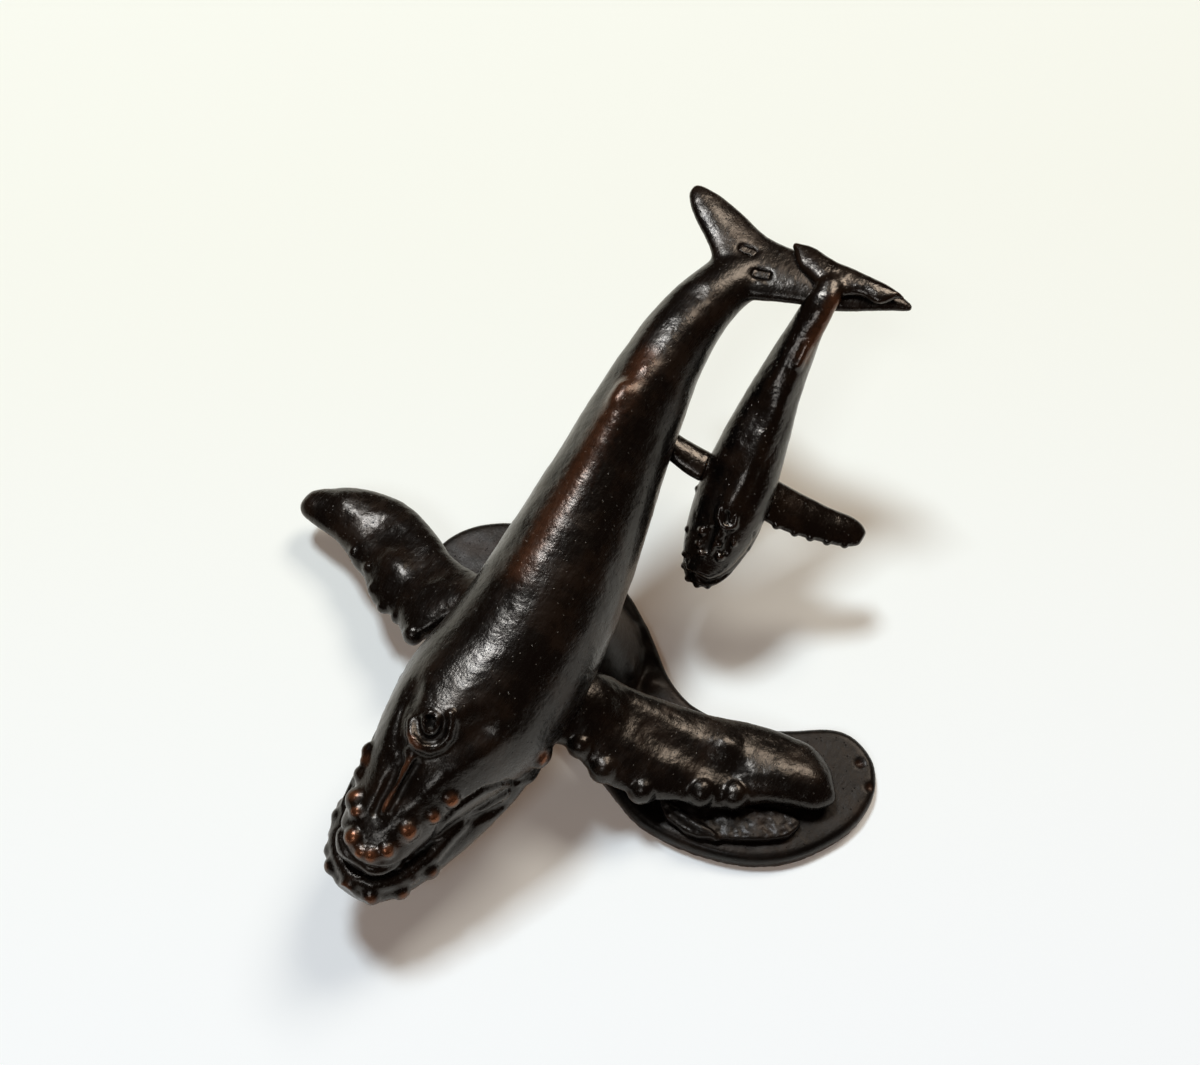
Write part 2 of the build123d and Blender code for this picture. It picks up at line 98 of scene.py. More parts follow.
@dataclass(frozen=True)
class PhotoCamera:
    """Camera of the photograph in the part's frame, in millimetres and degrees."""

    target: tuple[float, float, float] = (0.0, 14.0, 18.0)
    azimuth: float = 31.0
    elevation: float = 60.0
    distance: float = 269.2
    focal_pixels: float = 1750.0
    width: int = 1200
    height: int = 1065
    sensor: float = 36.0
    clip_start: float = 10.0

    def axes(self) -> tuple[Vector, Vector, Vector]:
        """Directions of the camera in the part's frame.

        Returns:
            Right, up and backward directions.
        """
        turn, tilt = math.radians(self.azimuth), math.radians(self.elevation)
        back = Vector((math.sin(turn) * math.cos(tilt), -math.cos(turn) * math.cos(tilt), math.sin(tilt)))
        right = Vector((math.cos(turn), math.sin(turn), 0))
        return right, back.cross(right), back

    def eye(self) -> Vector:
        """Place of the lens, in metres."""
        return (Vector(self.target) + self.axes()[2] * self.distance) * MM

    def ray(self, pixel: Pixel) -> Vector:
        """Direction in which the camera sees a pixel of the photograph.

        Args:
            pixel: Place in the photograph, from its top left corner.

        Returns:
            Unit direction away from the lens.
        """
        right, up, back = self.axes()
        across = (pixel[0] - self.width / 2) / self.focal_pixels
        upward = (self.height / 2 - pixel[1]) / self.focal_pixels
        return (right * across + up * upward - back).normalized()

    def build(self) -> None:
        """Adds the camera and makes it the scene's own."""
        data = bpy.data.cameras.new("photo_camera")
        data.sensor_width = self.sensor
        data.lens = self.sensor * self.focal_pixels / self.width
        data.clip_start = self.clip_start * MM
        camera = bpy.data.objects.new("photo_camera", data)
        right, up, back = self.axes()
        turned = Matrix((right, up, back)).transposed().to_4x4()
        camera.matrix_world = Matrix.Translation(self.eye()) @ turned
        bpy.context.scene.collection.objects.link(camera)
        bpy.context.scene.camera = camera


def linear(code: str) -> tuple[float, float, float, float]:
    """Turns an sRGB hex value into a linear colour.

    Args:
        code: Colour such as #3a2419.

    Returns:
        Linear red, green, blue and an alpha of one.
    """
    values = [int(code[place:place + 2], 16) / 255 for place in (1, 3, 5)]
    red, green, blue = [v / 12.92 if v <= 0.04045 else ((v + 0.055) / 1.055) ** 2.4 for v in values]
    return red, green, blue, 1.0


def add(tree: Tree, kind: str, inputs: dict | None = None, **settings: object) -> bpy.types.Node:
    """Adds a shader node with its settings, values and links.

    Args:
        tree: Node tree of a material or the world.
        kind: Type of shader node, such as Bump.
        inputs: Values or output sockets for its inputs, by name or number.
        **settings: Values of the node's own properties.

    Returns:
        The new node.
    """
    node = tree.nodes.new("ShaderNode" + kind)
    for key, value in settings.items():
        setattr(node, key, value)
    for key, value in (inputs or {}).items():
        if isinstance(value, Socket):
            tree.links.new(value, node.inputs[key])
        else:
            node.inputs[key].default_value = value
    return node


def noise(tree: Tree, place: Socket, size: float, detail: float,
          roughness: float = 0.5) -> Socket:
    """Adds a cloudy noise, with clouds of a size in millimetres."""
    return add(tree, "TexNoise", {
        "Vector": place, "Scale": 1 / (size * MM), "Detail": detail,
        "Roughness": roughness}).outputs["Fac"]


def ramp(tree: Tree, value: Socket, start: float = 0.0, end: float = 1.0,
         low: float = 0.0, high: float = 1.0, soft: bool = False) -> Socket:
    """Adds a rise from low to high while a value goes from start to end, eased if soft."""
    return add(tree, "MapRange", {
        "Value": value, "From Min": start, "From Max": end, "To Min": low, "To Max": high},
        interpolation_type="SMOOTHSTEP" if soft else "LINEAR").outputs["Result"]


def mix(tree: Tree, share: Socket, first: Socket | tuple, second: Socket | tuple) -> Socket:
    """Adds a mix of two colours by the share of the second."""
    return add(tree, "Mix", {0: share, 6: first, 7: second}, data_type="RGBA").outputs[2]


def maths(tree: Tree, operation: str, *values: Socket | float, clamp: bool = False) -> Socket:
    """Adds a sum of outputs and numbers."""
    inputs = dict(enumerate(values))
    return add(tree, "Math", inputs, operation=operation, use_clamp=clamp).outputs[0]


def bump(tree: Tree, height: Socket, strength: float, depth: float,
         under: Socket | None = None) -> Socket:
    """Adds a fine relief.

    Args:
        tree: Node tree of a material.
        height: Output that gives the relief's height.
        strength: How strongly it shows.
        depth: Depth of the relief, in millimetres.
        under: Coarser relief that it lies on.

    Returns:
        Output with the normal.
    """
    inputs = {"Strength": strength, "Distance": depth * MM, "Height": height}
    if under is not None:
        inputs["Normal"] = under
    return add(tree, "Bump", inputs).outputs["Normal"]


def empty_material(name: str) -> tuple[Material, Tree]:
    """Makes a node material with nothing in it yet.

    Args:
        name: Name of the material.

    Returns:
        The material and its node tree.
    """
    material = bpy.data.materials.new(name)
    material.use_nodes = True
    material.node_tree.nodes.clear()
    return material, material.node_tree


@dataclass(frozen=True)
class PatinatedBronze:
    """Lost-wax bronze with a brown-black patina under wax.

    The eye sees a dark brown metal with soft grey gloss, copper where hands rub the patina
    thin, black in the hollows, fine casting pits, and brush lines along the body. Each bump is
    a strength and a depth in millimetres.
    """

    name: str
    ground: str = "#070504"
    warm: str = "#180f09"
    rubbed: str = "#7b4d33"
    hollow: str = "#050403"
    gloss: str = "#fff3e4"
    shine: float = 0.52
    smoothest: float = 0.19
    roughest: float = 0.34
    hollow_dulling: float = 0.25
    patina_metallic: float = 0.25
    bare_metallic: float = 0.85
    wax: float = 0.06
    wax_roughness: float = 0.2
    unevenness: float = 0.9
    mottle_mm: float = 6.5
    speck_mm: float = 0.9
    grain_mm: float = 0.3
    pit_mm: float = 0.42
    pit_spread: float = 2.2
    brush_mm: float = 0.42
    brush_length: float = 11.0
    grain_bump: tuple[float, float] = (0.3, 0.05)
    brush_bump: tuple[float, float] = (0.35, 0.06)
    speck_bump: tuple[float, float] = (0.5, 0.16)
    pit_bump: tuple[float, float] = (0.7, 0.08)

    def build(self) -> Material:
        """Makes the material.

        Returns:
            Node material that reads Object coordinates and the wear and hollow attributes.
        """
        material, tree = empty_material(self.name)
        place = add(tree, "TexCoord").outputs["Object"]
        wear = add(tree, "Attribute", attribute_name="wear").outputs["Fac"]
        hollow = add(tree, "Attribute", attribute_name="hollow").outputs["Fac"]

        # Cloudy patina, and specks where it took unevenly
        mottle = noise(tree, place, self.mottle_mm, detail=5.0, roughness=0.62)
        speck = noise(tree, place, self.speck_mm, detail=3.0, roughness=0.6)
        # Brush lines run along the body, so the noise is stretched that way
        combed = add(tree, "Mapping", {
            "Vector": place, "Scale": (1.0, 1 / self.brush_length, 1.0)}).outputs["Vector"]
        brush = noise(tree, combed, self.brush_mm, detail=3.0, roughness=0.7)
        grain = noise(tree, place, self.grain_mm, detail=2.0)
        pits = add(tree, "TexVoronoi", {
            "Vector": place, "Scale": 1 / (self.pit_spread * self.pit_mm * MM)}).outputs["Distance"]
        pitted = ramp(tree, pits, start=0.03, end=0.17, soft=True)

        # Colour: cloudy ground, copper on the rubbed heights, black in the hollows
        cloud = ramp(tree, mottle, start=0.44, end=0.66, soft=True)
        ground = mix(tree, cloud, linear(self.ground), linear(self.warm))
        broken = maths(tree, "MULTIPLY_ADD", speck, self.unevenness, -self.unevenness / 2)
        uneven = maths(tree, "ADD", wear, broken, clamp=True)
        rub = maths(tree, "MULTIPLY", uneven, wear)
        rubbed = mix(tree, rub, ground, linear(self.rubbed))
        colour = mix(tree, hollow, rubbed, linear(self.hollow))
        bare = ramp(tree, rub, low=self.patina_metallic, high=self.bare_metallic)

        # Gloss: broken by the brush lines, dull in the hollows
        streaks = maths(tree, "ADD", brush, mottle)
        sheen = ramp(tree, streaks, start=0.7, end=1.3, low=self.smoothest, high=self.roughest)
        rough = maths(tree, "MULTIPLY_ADD", hollow, self.hollow_dulling, sheen, clamp=True)

        # Relief: a faint grain, brush lines, unevenness and casting pits, one on the other
        relief = None
        for height, amount in ((grain, self.grain_bump), (brush, self.brush_bump),
                               (speck, self.speck_bump), (pitted, self.pit_bump)):
            relief = bump(tree, height, *amount, relief)
        shader = add(tree, "BsdfPrincipled", {
            "Base Color": colour, "Metallic": bare, "Roughness": rough, "Normal": relief,
            "Specular IOR Level": self.shine, "Specular Tint": linear(self.gloss),
            "Coat Weight": self.wax, "Coat Roughness": self.wax_roughness}).outputs["BSDF"]
        add(tree, "OutputMaterial", {"Surface": shader})
        return material


@dataclass(frozen=True)
class DrawnMetal:
    """Drawn and turned rod, bare and a little tarnished, with fine turning lines round it."""

    name: str
    clean: str
    tarnished: str
    line_mm: float = 0.3
    cloud_mm: float = 1.6
    smoothest: float = 0.24
    roughest: float = 0.42
    line_bump: tuple[float, float] = (0.3, 0.04)

    def build(self) -> Material:
        """Makes the material, with its turning lines across the rod's height.

        Returns:
            Node material that reads Object coordinates.
        """
        material, tree = empty_material(self.name)
        place = add(tree, "TexCoord").outputs["Object"]
        cloud = noise(tree, place, self.cloud_mm, detail=4.0)
        lines = add(tree, "TexWave", {
            "Vector": place, "Scale": 0.1 / (self.line_mm * MM), "Distortion": 0.6},
            bands_direction="Z").outputs["Fac"]
        colour = mix(tree, cloud, linear(self.clean), linear(self.tarnished))
        rough = ramp(tree, cloud, low=self.smoothest, high=self.roughest)
        relief = bump(tree, lines, *self.line_bump)
        shader = add(tree, "BsdfPrincipled", {
            "Base Color": colour, "Metallic": 1.0, "Roughness": rough, "Normal": relief}).outputs["BSDF"]
        add(tree, "OutputMaterial", {"Surface": shader})
        return material


def pick(*objects: bpy.types.Object) -> None:
    """Selects only these objects and makes the first one active.

    Args:
        *objects: Objects to select.
    """
    bpy.ops.object.select_all(action="DESELECT")
    for item in objects:
        item.select_set(True)
    bpy.context.view_layer.objects.active = objects[0]


def node_mesh(name: str) -> bpy.types.Object:
    """CAD object of a node."""
    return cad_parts[name]


def smoothstep(low: float, high: float, value: np.ndarray) -> np.ndarray:
    """Rises softly from nought to one between two limits."""
    part = np.clip((value - low) / (high - low), 0.0, 1.0)
    return part * part * (3 - 2 * part)


def dot(place: Pixel | Lump) -> Row:
    """Row that stays on one place."""
    return place[:2], place[:2]


def spread(line: Line, step: float) -> Line:
    """Points at an even step along a line.

    Args:
        line: Corners of the line, in metres.
        step: Distance between points, in metres.

    Returns:
        Points from the first corner to the last.
    """
    points = []
    for start, end in zip(line, line[1:]):
        count = max(int((end - start).length / step), 1)
        points += [start.lerp(end, number / count) for number in range(count)]
    return points + [line[-1]]


def seat(node: str) -> tuple[Vector, Vector]:
    """Flat seat of a node, found as its largest flat area.

    Args:
        node: CAD node that ends in the seat.

    Returns:
        Middle of the seat and its outward direction.
    """
    areas: dict[tuple, float] = {}
    middles: dict[tuple, Vector] = {}
    for face in node_mesh(node).data.polygons:
        key = tuple(round(value, 3) for value in face.normal)
        areas[key] = areas.get(key, 0.0) + face.area
        middles[key] = middles.get(key, Vector()) + face.center * face.area
    best = max(areas, key=lambda key: areas[key])
    return middles[best] / areas[best], Vector(best).normalized()


@dataclass(frozen=True)
class Groove:
    """Soft groove under a row of pixels, or a welt where its depth is negative, in millimetres."""

    what: str
    row: Row
    depth: float
    width: float


@dataclass(frozen=True)
class Patch:
    """Place that hands have rubbed bare: the share of patina gone, and its reach in millimetres."""

    row: Row
    share: float
    reach: float


@dataclass
class Casting:
    """One bronze skin: poured from its CAD nodes, worked over, and dressed.

    Sizes are millimetres.
    """

    name: str
    nodes: tuple[str, ...]
    fineness: Fineness
    softening: int = 8
    lumps: list[bpy.types.Object] = field(default_factory=list)
    skin: bpy.types.Object | None = None
    tree: BVHTree | None = None

    def pour(self) -> None:
        """Copies the nodes, merges each copy and runs one smooth skin over all of them."""
        copies = []
        for node in self.nodes:
            mesh = node_mesh(node).data.copy()
            mesh.materials.clear()
            copy = bpy.data.objects.new(self.name, mesh)
            bpy.context.scene.collection.objects.link(copy)
            copies.append(copy)
        pick(*copies)
        if len(copies) > 1:
            bpy.ops.object.join()
        self.skin = copies[0]
        self.skin.name = self.name
        bpy.ops.object.mode_set(mode="EDIT")
        bpy.ops.mesh.select_all(action="SELECT")
        bpy.ops.mesh.remove_doubles(threshold=0.01 * MM)
        bpy.ops.object.mode_set(mode="OBJECT")
        self.reskin(self.softening)

    def work(self, kind: str, **settings: object) -> None:
        """Adds one modifier with its settings and applies it.

        Args:
            kind: Modifier type.
            **settings: Values of the modifier's properties.
        """
        pick(self.skin)
        modifier = self.skin.modifiers.new(kind.lower(), kind)
        for key, value in settings.items():
            setattr(modifier, key, value)
        bpy.ops.object.modifier_apply(modifier=modifier.name)

    def reskin(self, times: int) -> None:
        """Runs an even quad skin over the casting and eases it.

        Args:
            times: Smoothing passes.
        """
        self.work("REMESH", mode="VOXEL", voxel_size=self.fineness.value * MM)
        if times:
            self.work("SMOOTH", factor=0.5, iterations=times)
        self.look_up()

    def look_up(self) -> None:
        """Refreshes the search tree that places are found with."""
        mesh = self.skin.data
        corners = [vertex.co for vertex in mesh.vertices]
        self.tree = BVHTree.FromPolygons(corners, [face.vertices for face in mesh.polygons])

    def seen(self, pixel: Pixel, camera: PhotoCamera) -> tuple[Vector, Vector]:
        """Place and normal of the skin under a pixel of the photograph.

        Args:
            pixel: Place in the photograph.
            camera: Camera of the photograph.

        Returns:
            Point and normal where the camera's ray meets the skin, or passes it most closely.
        """
        eye, way = camera.eye(), camera.ray(pixel)
        point, normal, _, _ = self.tree.ray_cast(eye, way)
        if point is None:
            steps = [eye + way * (SEARCH_FROM + SEARCH_STEP * step) for step in range(SEARCH_COUNT)]
            found = [self.tree.find_nearest(step) for step in steps]
            point, normal, _, _ = min(found, key=lambda hit: hit[3])
        return point, normal

    def track(self, row: Row, camera: PhotoCamera) -> Line:
        """Places on the skin under a row of pixels."""
        return [self.seen(pixel, camera)[0] for pixel in row]

    def nearest(self, place: Vector) -> tuple[Vector, Vector]:
        """Closest point of the skin to a place, and its normal."""
        point, normal, _, _ = self.tree.find_nearest(place)
        return point, normal

    def knob(self, place: Vector, normal: Vector, radius: float, stand: float = 0.3,
             stretch: tuple[float, float, float] = (1.0, 1.0, 1.0)) -> None:
        """Adds a rounded lump of wax on the skin, to be run in by the next reskin.

        Args:
            place: Point of the skin, in metres.
            normal: Outward direction there.
            radius: Radius of the lump, in millimetres.
            stand: How far its centre lies below the skin, as a share of the radius.
            stretch: Size along X, Y and Z, as shares of the radius.
        """
        centre = place - normal * stand * radius * MM
        bpy.ops.object.select_all(action="DESELECT")
        bpy.ops.mesh.primitive_uv_sphere_add(segments=14, ring_count=9, radius=radius * MM, location=centre)
        lump = bpy.context.active_object
        lump.scale = stretch
        self.lumps.append(lump)

    def stud(self, lumps: Lumps, camera: PhotoCamera, stand: float) -> None:
        """Sets a knob on the skin at each place of the photograph."""
        for u, v, radius in lumps:
            self.knob(*self.seen((u, v), camera), radius, stand)

    def ridge(self, line: Line, radius: float, stand: float = 0.45, taper: float = 0.0) -> None:
        """Lays a roll of wax along a line on the skin.

        Args:
            line: Points along the roll, in metres.
            radius: Radius of the roll, in millimetres.
            stand: How far its centre lies below the skin, as a share of the radius.
            taper: How much thinner it gets at its two ends, as a share.
        """
        beads = spread(line, 0.55 * radius * MM)
        for number, place in enumerate(beads):
            along = abs(2 * number / max(len(beads) - 1, 1) - 1)
            point, normal = self.nearest(place)
            self.knob(point, normal, radius * (1 - taper * along ** 2), stand)

    def fuse(self, times: int) -> None:
        """Runs all lumps into the skin.

        Args:
            times: Smoothing passes after it.
        """
        if self.lumps:
            pick(*self.lumps)
            bpy.ops.object.transform_apply(location=True, rotation=True, scale=True)
            pick(self.skin, *self.lumps)
            bpy.ops.object.join()
            self.lumps = []
        self.reskin(times)

    def read(self, layer: str) -> np.ndarray:
        """Reads three numbers of each vertex of the skin.

        Args:
            layer: Name of the vertex property.

        Returns:
            One row for each vertex.
        """
        flat = np.empty(len(self.skin.data.vertices) * 3)
        self.skin.data.vertices.foreach_get(layer, flat)
        return flat.reshape(-1, 3)

    def points(self) -> np.ndarray:
        """Vertex places of the skin, in millimetres."""
        return self.read("co") / MM

    def normals(self) -> np.ndarray:
        """Vertex normals of the skin."""
        return self.read("normal")

    def move(self, points: np.ndarray) -> None:
        """Puts the skin's vertices at new places inside the CAD box.

        Args:
            points: New places, in millimetres.
        """
        low, high = np.array(CAD_BOX[0]) / MM, np.array(CAD_BOX[1]) / MM
        self.skin.data.vertices.foreach_set("co", (np.clip(points, low, high) * MM).ravel())
        self.skin.data.update()

    def near(self, line: Line, width: float) -> np.ndarray:
        """How close each vertex is to a line on the skin.

        Args:
            line: Points along the line, in metres.
            width: Distance at which it has run out, in millimetres.

        Returns:
            One on the line, nought beyond the width.
        """
        points = self.points()
        away = np.full(len(points), 1e9)
        track = np.array([list(place) for place in line]) / MM
        for start, end in zip(track, track[1:]):
            span = end - start
            part = np.clip(((points - start) @ span) / max(span @ span, 1e-9), 0.0, 1.0)
            away = np.minimum(away, np.linalg.norm(points - start - part[:, None] * span, axis=1))
        return 1 - smoothstep(0.0, width, away)

    def carve(self, line: Line, depth: float, width: float) -> None:
        """Cuts a soft groove along a line on the skin, or raises a welt with a negative depth.

        Args:
            line: Points along the groove, in metres.
            depth: Depth at its middle, in millimetres.
            width: Half width at which it has run out, in millimetres.
        """
        cut = self.near(line, width) * depth
        self.move(self.points() - self.normals() * cut[:, None])

    def engrave(self, grooves: tuple[Groove, ...], camera: PhotoCamera) -> None:
        """Carves grooves that are given in pixels, one after the other.

        Args:
            grooves: Grooves to carve.
            camera: Camera of the photograph.
        """
        for groove in grooves:
            self.carve(self.track(groove.row, camera), groove.depth, groove.width)
            log.debug("%s: %s", self.name, groove.what)

    def swell(self, lumps: Lumps, camera: PhotoCamera, rise: float, reach: float) -> None:
        """Raises low swellings, with rise and reach as shares of their radius."""
        for u, v, radius in lumps:
            self.carve(self.track(dot((u, v)), camera), -rise * radius, reach * radius)

    def roughen(self, size: float, height: float) -> None:
        """Gives the skin the unevenness of a hand-worked wax.

        Args:
            size: Width of one unevenness, in millimetres.
            height: How far it moves the skin, in millimetres.
        """
        texture = bpy.data.textures.new(self.name + "_unevenness", "CLOUDS")
        texture.noise_scale = size * MM
        texture.noise_depth = 2
        self.work("DISPLACE", texture=texture, strength=height * MM, mid_level=0.5, texture_coords="LOCAL")

    def rub(self, reach: float, low: float, high: float, more: np.ndarray | float = 0.0,
            keep: np.ndarray | float = 1.0) -> None:
        """Writes where the patina is rubbed thin and where it stays thick.

        A place that stands above its surroundings is rubbed, and one that lies below them is hollow.

        Args:
            reach: Width of the surroundings, in millimetres.
            low: Height at which rubbing starts, in millimetres.
            high: Height at which the patina is gone, in millimetres.
            more: Rubbing to add at each vertex.
            keep: Share of the rubbing that each vertex keeps.
        """
        mesh = self.skin.data
        points, normals = self.points(), self.normals()
        ends = np.empty(len(mesh.edges) * 2, dtype=np.int64)
        mesh.edges.foreach_get("vertices", ends)
        one, two = ends[0::2], ends[1::2]
        count = np.maximum(np.bincount(ends, minlength=len(points)), 1)
        eased = points.copy()
        for _ in range(max(int((reach / self.fineness.value) ** 2), 1)):
            total = np.empty_like(eased)
            for axis in range(3):
                total[:, axis] = (np.bincount(one, eased[two, axis], len(points))
                                  + np.bincount(two, eased[one, axis], len(points)))
            eased = (1 - EASING) * eased + EASING * total / count[:, None]
        height = np.einsum("ij,ij->i", points - eased, normals)
        wear = np.clip(smoothstep(low, high, height) * keep + more, 0.0, 1.0)
        values = {"wear": wear, "hollow": smoothstep(HOLLOW_FROM * low, HOLLOW_TO * high, -height)}
        for name, value in values.items():
            layer = mesh.attributes.new(name, "FLOAT", "POINT")
            layer.data.foreach_set("value", value.astype(np.float32))

    def halve(self, plane: tuple[Vector, Vector], ahead: str, behind: str) -> tuple["Casting", "Casting"]:
        """Saws the skin in two at a seat, so that each node keeps a casting of its own.

        Args:
            plane: Point of the seat, and its direction towards the part behind.
            ahead: Node ahead of the seat.
            behind: Node behind it.

        Returns:
            The casting ahead and the casting behind.
        """
        other = self.skin.copy()
        other.data = self.skin.data.copy()
        bpy.context.scene.collection.objects.link(other)
        halves = []
        for skin, node, outer in ((self.skin, ahead, True), (other, behind, False)):
            pick(skin)
            bpy.ops.object.mode_set(mode="EDIT")
            bpy.ops.mesh.select_all(action="SELECT")
            bpy.ops.mesh.bisect(plane_co=plane[0], plane_no=plane[1], use_fill=True,
                                clear_outer=outer, clear_inner=not outer)
            bpy.ops.object.mode_set(mode="OBJECT")
            skin.name = node + "_casting"
            halves.append(Casting(node + "_casting", (node,), self.fineness, skin=skin))
        return halves[0], halves[1]

    def dress(self, material: Material, slot: str) -> None:
        """Gives the skin its finish and hangs it on the part in place of its node.

        Args:
            material: Finish of the casting.
            slot: Not used.
        """
        self.move(self.points())
        pick(self.skin)
        bpy.ops.object.shade_smooth_by_angle(angle=CREASE_ANGLE)
        self.skin.data.materials.clear()
        self.skin.data.materials.append(material)
        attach(self.skin, "root")
        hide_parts(*self.nodes)
        log.info("%s: %d vertices", self.name, len(self.skin.data.vertices))


@dataclass
class MotherWhale:
    """Mother whale: body, flukes and both flippers.

    Sizes are millimetres. Places are pixels of the photograph, with a radius where a lump sits.
    The midline is the only exception: it gives X, in millimetres, at places along Y.
    """

    camera: PhotoCamera
    midline: tuple[tuple[float, float], ...] = ((-50, -1.2), (-39, -0.9), (-27, 0.2), (-13, 1.6))
    knobs: Lumps = (
        (409, 831, 1.95), (452, 800, 1.7), (434, 817, 1.5), (352, 837, 1.75), (361, 852, 1.3),
        (371, 855, 1.5), (387, 851, 1.45), (356, 811, 1.4), (356, 794, 1.3), (366, 760, 1.6))
    lip_knobs: Lumps = (
        (332, 801, 1.4), (330, 833, 1.4), (330, 866, 1.6), (348, 885, 1.5), (371, 897, 1.6),
        (402, 893, 1.5), (412, 876, 1.4), (431, 871, 1.7))
    lip: Row = (
        (336, 807), (334, 836), (339, 858), (351, 876), (373, 884), (396, 880), (414, 868),
        (433, 854), (451, 833), (469, 817), (488, 803), (504, 793))
    inner_lip: Row = ((384, 880), (399, 875), (415, 863), (431, 849), (444, 833), (459, 816))
    mouth: Row = (
        (386, 703), (376, 720), (367, 739), (357, 762), (349, 785), (344, 803), (341, 833),
        (348, 856), (361, 866), (380, 870), (398, 865), (414, 854), (431, 840), (441, 825),
        (455, 809), (469, 799), (484, 789), (504, 783), (516, 783))
    brow: Row = ((480, 729), (455, 744), (431, 758), (414, 770), (402, 787))
    far_brow: Row = ((390, 762), (392, 782), (382, 803), (378, 815))
    median: Row = ((412, 757), (406, 766), (396, 787), (388, 803), (384, 811))
    guard: Row = (
        (410, 721), (411, 735), (418, 745), (429, 750), (441, 746), (449, 737), (452, 725), (451, 714))
    cheek_fold: Row = ((517, 783), (533, 777), (544, 768))
    lip_hollow: Row = ((471, 821), (488, 814), (502, 808))
    spine: Row = (
        (668, 325), (645, 355), (622, 392), (600, 430), (575, 475), (548, 520), (520, 570))
    eye: Pixel = (543, 757)
    eye_radius: float = 2.0
    grooves: tuple[Groove, ...] = (
        Groove("fold inside the blowhole guard",
               ((417, 720), (418, 732), (425, 740), (434, 740), (442, 733), (444, 721)), 0.45, 0.9),
        Groove("rim of the blowhole",
               ((430, 713), (436, 717), (437, 724), (433, 731), (427, 731), (424, 724), (425, 717),
                (430, 713)), -0.35, 0.9),
        Groove("blowhole", ((431, 718), (430, 727)), 1.1, 0.8),
        Groove("crease beside the guard", ((404, 707), (398, 727), (397, 752), (400, 762)), 0.2, 0.9),
        Groove("far side of the median ridge",
               ((404, 742), (400, 760), (394, 778), (383, 797), (375, 812)), 0.4, 1.0),
        Groove("near side of the median ridge",
               ((417, 765), (408, 779), (398, 797), (391, 810)), 0.4, 1.0),
        Groove("crest of the back", spine[2:], -0.25, 4.0),
        Groove("hollow of the tail stock", ((690, 296), (672, 322), (652, 350)), 0.4, 3.6),
        Groove("dorsal hump", ((623, 388), (616, 399)), -0.6, 2.3))
    copper_spot: Row = ((409, 744), (413, 752), (404, 766))
    touch_width: float = 2.6
    untouched: float = 0.12
    bare: tuple[Patch, ...] = (
        Patch(spine[1:], 0.5, 4.2),
        Patch(((351, 846), (370, 858), (390, 854), (410, 840)), 0.4, 2.2),
        Patch((eye, eye), 0.8, 1.9))
    knob_bare: float = 0.5
    knob_bare_reach: float = 1.1
    left_knobs: Lumps = (
        (577, 749, 2.2), (602, 772, 2.4), (640, 797, 2.5), (701, 794, 2.5), (736, 798, 2.6))
    left_bumps: Lumps = ((598, 699, 3.2), (727, 744, 2.4), (768, 777, 3.4), (800, 786, 3.6))
    left_hollow: Row = ((628, 716), (660, 738), (694, 756), (730, 772))
    right_knobs: Lumps = (
        (352, 553, 1.3), (366, 568, 1.2), (371, 589, 1.2), (381, 608, 1.3), (393, 621, 1.4),
        (409, 637, 1.8))
    right_bumps: Lumps = ((347, 503, 3.0), (395, 560, 3.0))
    right_hollow: Row = ((378, 528), (402, 545), (428, 570))
    pleat_step: float = 2.1
    pleat_depth: float = 0.32
    pleat_start: tuple[float, float] = (-49.0, -44.0)
    pleat_end: tuple[float, float] = (-14.0, -2.0)
    pleat_facing: tuple[float, float] = (0.15, 0.55)

    def build(self, bronze: Material) -> None:
        """Makes and dresses all castings of the mother.

        Args:
            bronze: Finish of the castings.
        """
        whole = Casting("mother_casting", ("mother_body", "mother_flukes"), Fineness.MOTHER, softening=10)
        whole.pour()
        self.shape_head(whole)
        whole.fuse(times=2)
        self.cut_lines(whole)
        whole.roughen(size=5.0, height=0.3)
        self.polish(whole)
        point, way = seat("mother_flukes")
        body, flukes = whole.halve((point, -way), "mother_body", "mother_flukes")
        left = self.flipper("mother_left_flipper", self.left_knobs, self.left_bumps, self.left_hollow)
        right = self.flipper("mother_right_flipper", self.right_knobs, self.right_bumps, self.right_hollow)
        for casting in (body, flukes, left, right):
            casting.dress(bronze, "patinated_bronze")

    def across(self, place: Vector) -> Vector:
        """Place on the other flank of the head, across the middle of the body.

        Args:
            place: Place on one flank, in metres.

        Returns:
            Its mirror image.
        """
        ways, middles = zip(*self.midline)
        centre = float(np.interp(place.y / MM, ways, middles)) * MM
        return Vector((2 * centre - place.x, place.y, place.z))

    def far_line(self, skin: Casting, line: Line) -> Line:
        """The same line on the flank that the photograph hides."""
        return [skin.nearest(self.across(place))[0] for place in line]

    def level(self, pixel: Pixel, guide: Line) -> Vector:
        """Place under a pixel that lies as deep in the picture as the closest point of a line.

        Args:
            pixel: Place in the photograph.
            guide: Points along the line, in metres.

        Returns:
            The place, in metres.
        """
        eye, way = self.camera.eye(), self.camera.ray(pixel)
        depth = min(guide, key=lambda place: (place - eye).cross(way).length) - eye
        return eye + way * depth.dot(way)

